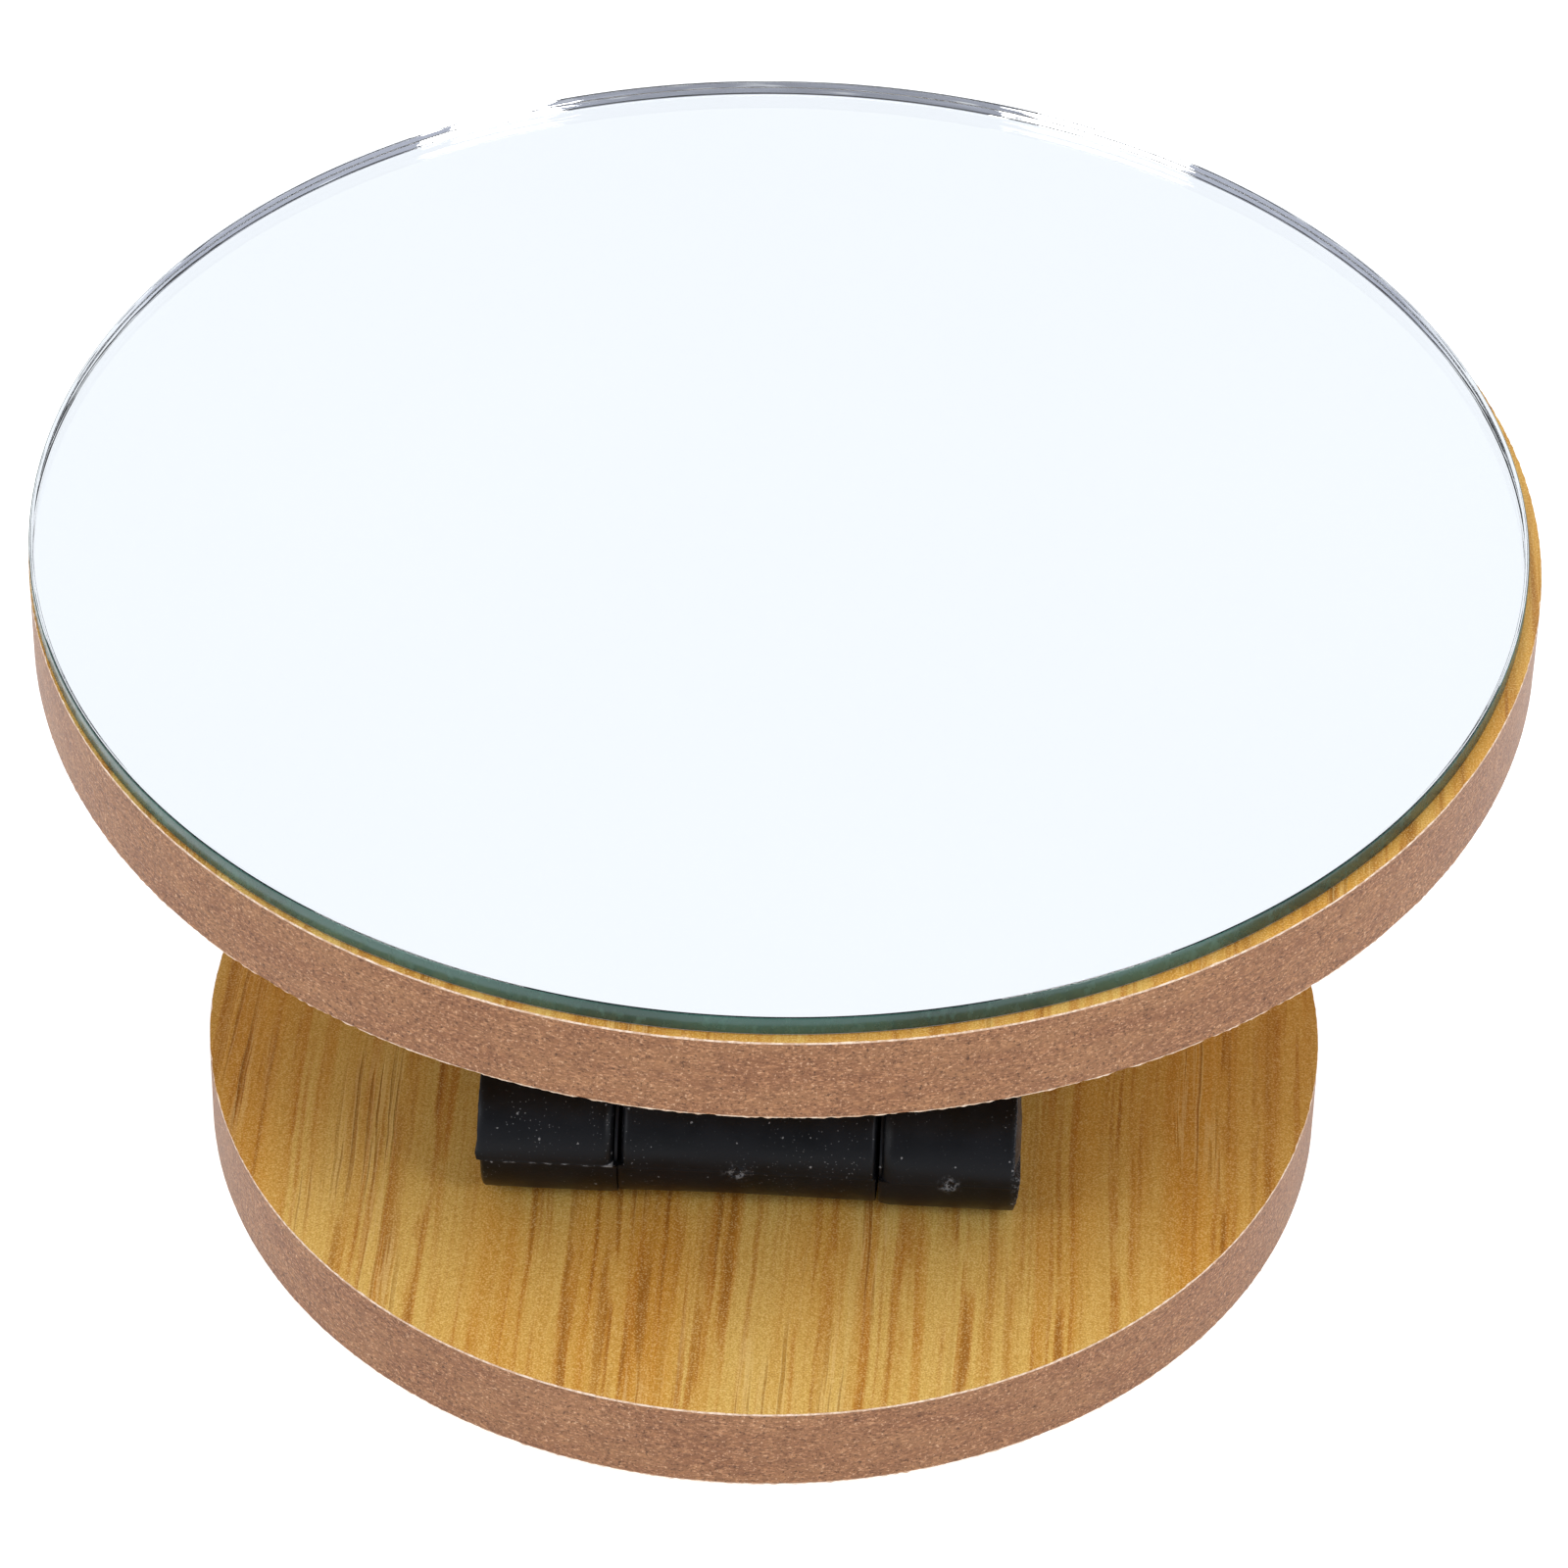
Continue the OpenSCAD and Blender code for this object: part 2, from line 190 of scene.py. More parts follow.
def oak_print():
    """Printed oak paper under embossed resin: broken streaks along Y, pore grooves with a painted
    highlight beside them, and fine grit.
    """
    look = Look("oak_print")
    drift = look.math("SUBTRACT", look.noise(look.stretch(22, 14, 60), detail=1), 0.5)
    wiggle = look.math("SUBTRACT", look.noise(look.stretch(90, 110, 60), detail=1), 0.5)
    wander = look.node("ShaderNodeCombineXYZ")
    sideways = look.math("ADD", look.times(drift, 0.004), look.times(wiggle, 0.0005))
    look.feed(wander.inputs["X"], sideways)
    shifted = look.node("ShaderNodeVectorMath", operation="ADD")
    look.feed(shifted.inputs[0], look.place)
    look.feed(shifted.inputs[1], wander.outputs[0])
    grain = shifted.outputs[0]

    bands = look.noise(look.stretch(80, 5, 90, grain), detail=2)
    groups = look.noise(look.stretch(210, 11, 130, grain), detail=1)
    halos = look.noise(look.stretch(520, 8, 90, grain), detail=1)
    streaks = look.noise(look.stretch(820, 11, 170, grain), detail=1)
    others = look.noise(look.stretch(1050, 17, 210, grain), detail=1)
    breaks = look.noise(look.stretch(420, 50, 90, grain), detail=2)
    fibres = look.noise(look.stretch(2600, 60, 300, grain), detail=2)
    grit = look.noise(look.stretch(4600, 4600, 4600), detail=1)

    amber = look.plus(look.between(bands, 0.42, 0.64, 0, 0.8),
                      look.between(look.axis("X"), 0.03, 0.075, 0, 0.6))
    colour = look.blend(amber, tint("#c8a456"), tint("#c28b35"))
    strong = look.plus(look.between(groups, 0.38, 0.58, 0, 0.6), 0.4)
    halo = look.times(look.between(halos, 0.45, 0.64), strong)
    colour = look.blend(look.times(halo, 0.6), colour, tint("#b67c28"))
    whole = look.between(breaks, 0.32, 0.52)
    thread = look.times(look.between(streaks, 0.50, 0.60), whole, strong)
    colour = look.blend(look.times(thread, 0.7), colour, tint("#a9691c"))
    thread = look.times(look.between(others, 0.55, 0.64), whole, strong)
    colour = look.blend(look.times(thread, 0.65), colour, tint("#a4661c"))
    core = look.times(look.between(streaks, 0.58, 0.67), look.between(breaks, 0.40, 0.54), strong)
    colour = look.blend(look.times(core, 0.75), colour, tint("#87500f"))
    colour = look.blend(look.between(fibres, 0.38, 0.68, 0, 0.3), colour, tint("#b27f2c"))
    colour = look.blend(look.between(grit, 0.48, 0.72, 0.0, 0.45), colour, tint("#e6cc8c"))
    colour = look.blend(look.between(grit, 0.48, 0.28, 0.0, 0.40), colour, tint("#835717"))

    clusters = look.between(look.noise(look.stretch(110, 16, 60, grain), detail=1), 0.55, 0.64)
    pores = look.noise(look.stretch(1500, 26, 200, grain), detail=1)
    groove = look.times(look.between(pores, 0.55, 0.61), clusters)
    # painted highlight: pale strokes beside each pore groove, standing in for light caught by its
    # embossed flank
    pore_flank_highlight = look.times(look.between(pores, 0.46, 0.51), look.between(pores, 0.57, 0.53), clusters)
    colour = look.blend(look.times(pore_flank_highlight, 0.35), colour, tint("#dcbf80"))
    colour = look.blend(look.times(groove, 0.35), colour, tint("#7d4d16"))

    relief = look.bump(grit, 0.00002, 0.5)
    relief = look.bump(look.times(groove, -1.0), 0.00008, 0.8, relief)
    look.set(Base_Color=colour, Normal=relief, Specular_IOR_Level=0.25)
    look.set(Roughness=look.between(grit, 0.2, 0.8, 0.34, 0.48))
    return look.material


def fibreboard_edge():
    """Routed edge of fibreboard: short flat fibres, dark and pale specks, no gloss."""
    look = Look("fibreboard_edge")
    clouds = look.noise(look.stretch(70, 70, 260), detail=3)
    clumps = look.noise(look.stretch(620, 620, 1500), detail=3, rough=0.7)
    fibres = look.noise(look.stretch(1500, 1500, 3600), detail=2, rough=0.6)
    specks = look.noise(look.stretch(2300, 2300, 3000), detail=2, rough=0.65)
    colour = look.blend(look.between(clouds, 0.3, 0.7), tint("#7e5336"), tint("#8b6140"))
    colour = look.blend(look.between(clumps, 0.52, 0.70, 0, 0.6), colour, tint("#a7764f"))
    colour = look.blend(look.between(clumps, 0.48, 0.32, 0, 0.5), colour, tint("#5f3a23"))
    colour = look.blend(look.between(fibres, 0.52, 0.68, 0, 0.75), colour, tint("#b5845e"))
    colour = look.blend(look.between(specks, 0.45, 0.30, 0, 0.9), colour, tint("#482b19"))
    colour = look.blend(look.between(specks, 0.60, 0.72, 0, 0.7), colour, tint("#d6ae8a"))
    relief = look.bump(look.math("ADD", clumps, look.times(fibres, 0.7)), 0.00014, 0.8)
    look.set(Base_Color=colour, Normal=relief, Roughness=0.8, Specular_IOR_Level=0.4)
    look.set(Sheen_Weight=0.25, Sheen_Roughness=0.35)
    return look.material


def paper_edge():
    """Cut and chipped edge of the laminate, where the pale paper core shows."""
    look = Look("laminate_cut_edge")
    chips = look.noise(look.stretch(1300, 1300, 1300), detail=3, rough=0.7)
    colour = look.blend(look.between(chips, 0.40, 0.62), tint("#bd9c80"), tint("#ddc9b4"))
    look.set(Base_Color=colour, Roughness=0.8, Normal=look.bump(chips, 0.00006, 0.5))
    return look.material


def black_plastic():
    """Moulded black plastic: satin and blotchy, dusty, torn at the gates and scuffed at one end."""
    look = Look("black_plastic")
    x, y, z = (look.axis(name) for name in "XYZ")
    blotch = look.noise(look.stretch(160, 160, 160), detail=3, rough=0.6)
    grain = look.noise(look.stretch(2600, 2600, 2600), detail=2)
    fine = look.noise(look.stretch(3800, 3800, 3800), detail=2, rough=0.7)

    sizes = look.noise(look.stretch(700, 700, 700), detail=0)
    ragged = look.node("ShaderNodeVectorMath", operation="ADD")
    look.feed(ragged.inputs[0], look.place)
    crumbs = look.node("ShaderNodeTexNoise")
    look.feed(crumbs.inputs["Vector"], look.place)
    crumbs.inputs["Scale"].default_value = 5000
    shift = look.node("ShaderNodeVectorMath", operation="SCALE")
    look.feed(shift.inputs[0], crumbs.outputs["Color"])
    shift.inputs["Scale"].default_value = 0.0003
    look.feed(ragged.inputs[1], shift.outputs[0])
    ragged = ragged.outputs[0]
    mote = look.math("SUBTRACT", look.cells(look.stretch(620, 620, 620, ragged)),
                     look.between(sizes, 0.35, 0.78, 0.02, 0.15))
    motes = look.between(mote, 0.0, -0.03)
    speck = look.between(look.cells(look.stretch(1700, 1700, 1700, ragged)), 0.17, 0.10)
    patchy = look.noise(look.stretch(70, 70, 70), detail=1)
    dusting = look.plus(look.between(patchy, 0.44, 0.62, 0.1, 0.7), look.near(DUST_SPOT, 0.0065))
    specks = look.times(speck, dusting)

    front = look.between(y, PIN.y - 0.0066, PIN.y - 0.0080)
    height = look.math("ABSOLUTE", look.math("SUBTRACT", z, PIN.z + PARTING_RISE))
    broken = look.noise(look.stretch(700, 700, 2500), detail=2, rough=0.7)
    seam = look.times(look.between(height, 0.00016, 0.00004), front,
                      look.between(x, GAP_X, GAP_X - 0.0003),
                      look.plus(look.between(broken, 0.52, 0.66),
                                look.between(x, GAP_X - 0.0018, GAP_X - 0.0006)))
    gates = look.plus(look.near(gate_spot(GATE_MIDDLE), 0.0024),
                      look.near(gate_spot(GATE_RIGHT), 0.0020))
    flakes = look.noise(look.stretch(1300, 1300, 1300), detail=3, rough=0.75)
    torn = look.times(gates, look.between(flakes, 0.50, 0.62))
    scuffed = look.times(look.between(x, 0.0334, 0.0348), look.between(fine, 0.47, 0.66))
    marks = look.plus(look.times(motes, 0.42), look.times(specks, 0.35), look.times(seam, 0.5),
                      look.times(torn, 0.42), look.times(scuffed, 0.30))

    colour = look.blend(look.between(blotch, 0.3, 0.7), tint("#07080a"), tint("#0c0d11"))
    colour = look.blend(marks, colour, tint("#a4a6aa"))
    relief = look.bump(look.math("ADD", look.times(blotch, 3.0), grain), 0.00003, 0.6)
    look.set(Base_Color=colour, Normal=relief, Specular_IOR_Level=0.19,
             Specular_Tint=(0.90, 0.94, 1.0, 1.0))
    look.set(Roughness=look.between(blotch, 0.3, 0.7, 0.34, 0.46))
    return look.material


def clear_glass():
    """Float glass with a slight green body colour, its wall uneven from grinding."""
    look = Look("mirror_glass")
    look.set(Base_Color=(0.998, 1.0, 0.999, 1.0), Roughness=0.0, IOR=1.52, Transmission_Weight=1.0)
    x, y, radius = round_node("mirror_glass")[:3]
    centre = (x, y, 0.0)
    flat = look.node("ShaderNodeVectorMath", operation="MULTIPLY")
    look.feed(flat.inputs[0], look.place)
    flat.inputs[1].default_value = (1.0, 1.0, 0.0)
    away = look.node("ShaderNodeVectorMath", operation="DISTANCE")
    look.feed(away.inputs[0], flat.outputs[0])
    away.inputs[1].default_value = centre
    wall = look.between(away.outputs["Value"], radius - 0.0006, radius - 0.0003)
    waves = look.noise(look.stretch(60, 60, 160), detail=2, rough=0.6)
    streaks = look.noise(look.stretch(40, 40, 900), detail=2)
    uneven = look.math("ADD", waves, look.times(streaks, 0.08))
    look.set(Normal=look.bump(look.times(uneven, wall), 0.00045, 0.6))
    inside = look.node("ShaderNodeVolumeAbsorption")
    inside.inputs["Color"].default_value = (0.62, 0.95, 0.84, 1.0)
    inside.inputs["Density"].default_value = 1.0
    out = look.tree.nodes["Material Output"]
    look.feed(out.inputs["Volume"], inside.outputs[0])
    return look.material


def ground_glass_edge():
    """The ground rim of the glass: deep green, satin, with slanting wheel marks."""
    look = Look("glass_ground_edge")
    around = look.noise(look.stretch(34, 34, 20), detail=2)
    wheel = look.noise(look.stretch(700, 700, 500, turn=0.3), detail=3, rough=0.6)
    colour = look.blend(look.between(around, 0.35, 0.65), tint("#1c3a32"), tint("#2b5046"))
    colour = look.blend(look.between(wheel, 0.52, 0.75, 0, 0.25), colour, tint("#5b8377"))
    look.set(Base_Color=colour, Normal=look.bump(wheel, 0.00002, 0.4))
    look.set(Roughness=look.between(wheel, 0.3, 0.7, 0.18, 0.32))
    return look.material


def silver():
    """The mirror's silver, seen through the glass, with its faint haze."""
    look = Look("silvering")
    haze = look.noise(look.stretch(14, 14, 14), detail=3)
    look.set(Metallic=1.0, Base_Color=look.blend(haze, tint("#fcfeff"), tint("#fafcfe")))
    look.set(Roughness=look.between(haze, 0.2, 0.8, 0.004, 0.02))
    return look.material


def metal(name, pale, deep, roughness, brushed=(700, 700, 700)):
    """Plated or drawn metal with a fine grain and faint stains."""
    look = Look(name)
    stain = look.noise(look.stretch(120, 120, 120), detail=4, rough=0.6)
    grain = look.noise(look.stretch(*brushed), detail=3, rough=0.6)
    colour = look.blend(look.between(stain, 0.3, 0.7), tint(pale), tint(deep))
    look.set(Metallic=1.0, Base_Color=colour)
    look.set(Roughness=look.between(grain, 0.3, 0.7, roughness - 0.08, roughness + 0.1))
    look.set(Normal=look.bump(grain, 0.00002, 0.5))
    return look.material


def dull(name, pale, deep, roughness, size, depth):
    """Rubber, nylon or glue: mottled, with a fine tooth of the given features per metre."""
    look = Look(name)
    mottle = look.noise(look.stretch(size / 8, size / 8, size / 8), detail=3)
    tooth = look.noise(look.stretch(size, size, size), detail=2)
    look.set(Base_Color=look.blend(look.between(mottle, 0.3, 0.7), tint(pale), tint(deep)))
    look.set(Roughness=look.between(tooth, 0.3, 0.7, roughness - 0.06, roughness + 0.06))
    look.set(Normal=look.bump(tooth, depth, 0.6))
    return look.material


def round_node(node):
    """Centre x and y, radius, bottom and top of a CAD node that is round about Z."""
    low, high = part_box(node)
    return (low.x + high.x) / 2, (low.y + high.y) / 2, (high.x - low.x) / 2, low.z, high.z


# what shows on the barrel: gate marks, a dusty patch and the parting line of the left knuckle
BARREL_LOW, BARREL_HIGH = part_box("lower_hinge_leaf")
BARREL_R = PIN.z - BARREL_LOW.z
GATE_MIDDLE = -0.0014
GATE_RIGHT = 0.0259
GAP_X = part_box("friction_washers")[0].x
PARTING_RISE = 0.0005
DUST_SPOT = (-0.0284, PIN.y - BARREL_R * 0.73, PIN.z + BARREL_R * 0.68)


def gate_spot(x):
    return (x, PIN.y - BARREL_R, PIN.z)


OAK = oak_print()
FIBRE = fibreboard_edge()
PAPER = paper_edge()
PLASTIC = black_plastic()
GLASS = clear_glass()
GLASS_EDGE = ground_glass_edge()
SILVER = silver()
ZINC = metal("zinc_plate", "#c9ccd0", "#a9adb3", 0.30)
BRIGHT = metal("bright_steel", "#d5d7da", "#bfc2c6", 0.16, (300, 4000, 4000))
BRASS = metal("brass_sheet", "#d0aa55", "#b78d3c", 0.26)
RUBBER = dull("black_rubber", "#232326", "#2e2e31", 0.75, 2400, 0.00005)
NYLON = dull("white_nylon", "#dedbd0", "#cfccc0", 0.45, 1800, 0.00002)
PAINT = dull("backing_paint", "#a9adb2", "#9a9ea4", 0.5, 1600, 0.00001)
GLUE = dull("mirror_glue", "#dcd9cf", "#c9c5b8", 0.5, 900, 0.00003)


# ---------------------------------------------------------------- mesh tools

def lathe(outline, angles, closed=False, wobble=None, slots=None):
    """A closed surface from an outline of (radius, height) points turned round the Z axis.

    An open outline starts and ends on the axis. angles is a count, or the list of angles to use.
    wobble(point, angle) gives the change of (radius, height) at an outline point. slots gives the
    material of each stretch of the outline.
    """
    if isinstance(angles, int):
        angles = [TURN * i / angles for i in range(angles)]
    mesh = bmesh.new()
    rings = []
    for point, (radius, height) in enumerate(outline):
        if radius == 0:
            rings.append([mesh.verts.new((0, 0, height))] * len(angles))
            continue
        ring = []
        for angle in angles:
            more, up = wobble(point, angle) if wobble else (0, 0)
            r = radius + more
            ring.append(mesh.verts.new((r * math.cos(angle), r * math.sin(angle), height + up)))
        rings.append(ring)
    spans = list(zip(rings, rings[1:]))
    if closed:
        spans.append((rings[-1], rings[0]))
    for number, (low, high) in enumerate(spans):
        for i in range(len(angles)):
            j = (i + 1) % len(angles)
            corners = dict.fromkeys((low[i], low[j], high[j], high[i]))
            face = mesh.faces.new(list(corners))
            face.material_index = slots[number] if slots else 0
    return mesh


def rod(radius, z0, z1, steps):
    """A plain cylinder about Z, for cutting holes."""
    return lathe([(0, z0), (radius, z0), (radius, z1), (0, z1)], steps)


def prism(outline, z0, z1, round_by=0.0):
    """A flat outline raised from z0 to z1, its edges rounded."""
    mesh = bmesh.new()
    face = mesh.faces.new([mesh.verts.new((x, y, z0)) for x, y in outline])
    raised = bmesh.ops.extrude_face_region(mesh, geom=[face])["geom"]
    bmesh.ops.translate(mesh, vec=(0, 0, z1 - z0),
                        verts=[v for v in raised if isinstance(v, bmesh.types.BMVert)])
    bmesh.ops.recalc_face_normals(mesh, faces=mesh.faces)
    if round_by:
        bmesh.ops.bevel(mesh, geom=mesh.edges[:], offset=round_by, segments=3, profile=0.5,
                        affect="EDGES", clamp_overlap=True)
    return mesh


def moved(mesh, matrix):
    """The same mesh, moved."""
    bmesh.ops.transform(mesh, matrix=matrix, verts=mesh.verts)
    if matrix.determinant() < 0:
        bmesh.ops.reverse_faces(mesh, faces=mesh.faces)
    return mesh


def at(x, y, z=0.0):
    return Matrix.Translation((x, y, z))


def joined(meshes):
    """Several closed meshes as one."""
    whole = bmesh.new()
    for mesh in meshes:
        data = bpy.data.meshes.new("part")
        mesh.to_mesh(data)
        mesh.free()
        whole.from_mesh(data)
        bpy.data.meshes.remove(data)
    return whole


def solid_object(name, mesh):
    data = bpy.data.meshes.new(name)
    mesh.to_mesh(data)
    mesh.free()
    made = bpy.data.objects.new(name, data)
    bpy.context.scene.collection.objects.link(made)
    return made


def boolean(body, tool, operation):
    """The union or difference of two closed meshes."""
    first, second = solid_object("body", body), solid_object("tool", tool)
    change = first.modifiers.new("change", "BOOLEAN")
    change.object, change.operation, change.solver = second, operation, "MANIFOLD"
    evaluated = first.evaluated_get(bpy.context.evaluated_depsgraph_get())
    result = bmesh.new()
    result.from_mesh(evaluated.to_mesh())
    evaluated.to_mesh_clear()
    for used in (first, second):
        data = used.data
        bpy.data.objects.remove(used)
        bpy.data.meshes.remove(data)
    return result


def piece(name, mesh, body, looks, node, sharp=35):
    """Makes the mesh a named piece that rides on a body and stands for a CAD node."""
    made = solid_object(name, mesh)
    made.data.shade_smooth()
    made.data.set_sharp_from_angle(angle=math.radians(sharp))
    for look in looks:
        made.data.materials.append(look)
    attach(made, body)
    if node:
        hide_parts(node)


# ---------------------------------------------------------------- boards

RIM_STEPS = 2400
RIM_INSET = 1.5 * MM
PLATE_LOW, PLATE_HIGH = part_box("bearing_lower_plate")
PLATE_R = (PLATE_HIGH.x - PLATE_LOW.x) / 2
HOLE_RING = PLATE_R - 6 * MM
ACCESS_R = 4.5 * MM


def chip(spot, seed, rough):
    """How far a laminate's rim is broken back at a spot: fine teeth and a few larger chips."""
    teeth = noise.noise(spot * 1150 + Vector((seed, 0, 0)))
    chips = noise.noise(spot * 330 + Vector((0, seed, 0)))
    return (0.03 + rough * (0.09 + 0.16 * teeth + 0.5 * max(0.0, chips - 0.2))) * MM


def access_hole(mesh, node):
    """The carrier board and its sheets pierced for reaching the upper plate's screws."""
    if not node.startswith("carrier"):
        return mesh
    low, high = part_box(node)
    hole = moved(rod(ACCESS_R, low.z - MM, high.z + MM, 64), at(TOP_AXIS.x + HOLE_RING, TOP_AXIS.y))
    return boolean(mesh, hole, "DIFFERENCE")


def laminate(node, body, face_up, seed, rough):
    """A printed sheet whose outer rim is chipped, so that its pale core shows as a broken line."""
    x, y, radius, z0, z1 = round_node(node)
    flat = radius - RIM_INSET
    chipped = 3 if face_up else 2

    def wobble(point, angle):
        if point not in (2, 3):  # the rim's lower and upper edge
            return (0, 0)
        if point != chipped:
            return (-0.02 * MM, 0)
        broken = chip(Vector((math.cos(angle), math.sin(angle), 0)) * radius, seed, rough)
        return (-broken, broken * (-0.3 if face_up else 0.3))

    outline = [(0, z0), (flat, z0), (radius, z0), (radius, z1), (flat, z1), (0, z1)]
    mesh = moved(lathe(outline, RIM_STEPS, wobble=wobble, slots=[0, 0, 1, 0, 0]), at(x, y))
    mesh = access_hole(mesh, node)
    piece(node + "_sheet", mesh, body, [OAK, PAPER], node, sharp=50)


def board(node, body, seed):
    """The fibreboard core, its routed side slightly uneven with a faint chatter."""
    x, y, radius, z0, z1 = round_node(node)
    rows = 9

    def wobble(point, angle):
        if not 1 < point < rows + 3:
            return (0, 0)
        spot = Vector((math.cos(angle), math.sin(angle), 0)) * radius * 260
        rough = noise.noise(spot + Vector((0, 0, point * 1.7 + seed)))
        chatter = math.sin(angle * 190 + 0.6 * point)
        return (-(0.02 + 0.02 * rough + 0.006 * chatter) * MM, 0)

    flat = radius - RIM_INSET
    side = [(radius, z0 + (z1 - z0) * i / rows) for i in range(rows + 1)]
    mesh = lathe([(0, z0), (flat, z0)] + side + [(flat, z1), (0, z1)], RIM_STEPS // 2, wobble=wobble)
    mesh = access_hole(moved(mesh, at(x, y)), node)
    piece(node + "_core", mesh, body, [FIBRE], node, sharp=60)


for number, (stem, body) in enumerate((("base", "base"), ("carrier", "tilt_carrier"),
                                       ("top", "turntable"))):
    board(stem + "_board", body, 3.1 * number)
    laminate(stem + "_upper_laminate", body, True, 7.7 * number + 1, 0.5)
    laminate(stem + "_lower_laminate", body, False, 5.3 * number + 2, 1.0)


# ---------------------------------------------------------------- mirror

def mirror():
    """Glass body, its ground skin round the rim, the silver inside its underside and the glue."""
    x, y, radius, z0, z1 = round_node("mirror_glass")
    skin, arris = 0.12 * MM, 0.10 * MM
    inner = radius - skin - 0.02 * MM
    outline = [(0, z0), (inner - 0.05 * MM, z0), (inner, z0 + 0.05 * MM), (inner, z1 - arris),
               (inner - arris, z1), (0, z1)]
    glass = lathe(outline, 720)
    piece("mirror_glass_body", moved(glass, at(x, y)), "turntable", [GLASS], "mirror_glass",
          sharp=20)

    def wobble(point, angle):
        spot = Vector((math.cos(angle), math.sin(angle), 0)) * radius
        rough = 0.012 * MM * (1 + noise.noise(spot * 700 + Vector((0, 0, point))))
        return (-rough if 0 < point < 4 else 0.0, 0)

    rim = [(radius - skin, z0 + 0.02 * MM), (radius - 0.06 * MM, z0 + 0.02 * MM),
           (radius, z0 + 0.12 * MM), (radius, z1 - 2 * arris), (radius - skin, z1 - arris)]
    edge = lathe(rim, 1440, closed=True, wobble=wobble)
    piece("mirror_ground_edge", moved(edge, at(x, y)), "turntable", [GLASS_EDGE], None,
          sharp=40)

    x, y, radius, z0, z1 = round_node("mirror_backing")
    sunk = 0.01 * MM
    outline = [(0, z0), (inner, z0), (inner, z1 - sunk), (radius, z1 - sunk), (radius, z1 + sunk),
               (0, z1 + sunk)]
    back = lathe(outline, 720, slots=[1, 1, 1, 0, 0])
    piece("mirror_silver", moved(back, at(x, y)), "turntable", [SILVER, PAINT], "mirror_backing")

    x, y, radius, z0, z1 = round_node("mirror_adhesive")

    def creep(point, angle):
        spot = Vector((5 * math.cos(angle), 5 * math.sin(angle), 0))
        return (-1.5 * MM * (1 + noise.noise(spot)), 0)

    glue = lathe([(0, z0), (radius, z0), (radius, z1), (0, z1)], 360, wobble=creep)
    piece("mirror_glue_layer", moved(glue, at(x, y)), "turntable", [GLUE], "mirror_adhesive")


mirror()


# ---------------------------------------------------------------- hinge

WASHER_LOW, WASHER_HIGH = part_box("friction_washers")
MIDDLE_LOW, MIDDLE_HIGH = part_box("friction_sleeve")
PIN_LOW, PIN_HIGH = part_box("hinge_pin")
PIN_R = (PIN_HIGH.z - PIN_LOW.z) / 2
SLEEVE_R = (MIDDLE_HIGH.z - MIDDLE_LOW.z) / 2
SWING = 0.3 * MM
SEAT = 0.02 * MM
RUNNING = 0.05 * MM
PAST_END = 50 * MM
ALONG_X = Matrix(((0, 0, 1, 0), (0, -1, 0, 0), (1, 0, 0, 0), (0, 0, 0, 1)))
FRONT = TURN / 4


def along_pin(mesh):
    """A mesh made about Z, laid along the pin: angle 0 is up, a quarter turn is front."""
    return moved(mesh, at(0, PIN.y, PIN.z) @ ALONG_X)


def knuckle_angles():
    """Angles round a knuckle, closer together near the parting line at the front."""
    fine, step, coarse = 26, math.radians(0.45), 300
    near = [FRONT + step * i for i in range(-fine, fine + 1)]
    rest = TURN - 2 * fine * step
    return near + [near[-1] + rest * i / coarse for i in range(1, coarse)]


def smooth(value, low, high):
    share = min(1.0, max(0.0, (value - low) / (high - low)))
    return share * share * (3 - 2 * share)


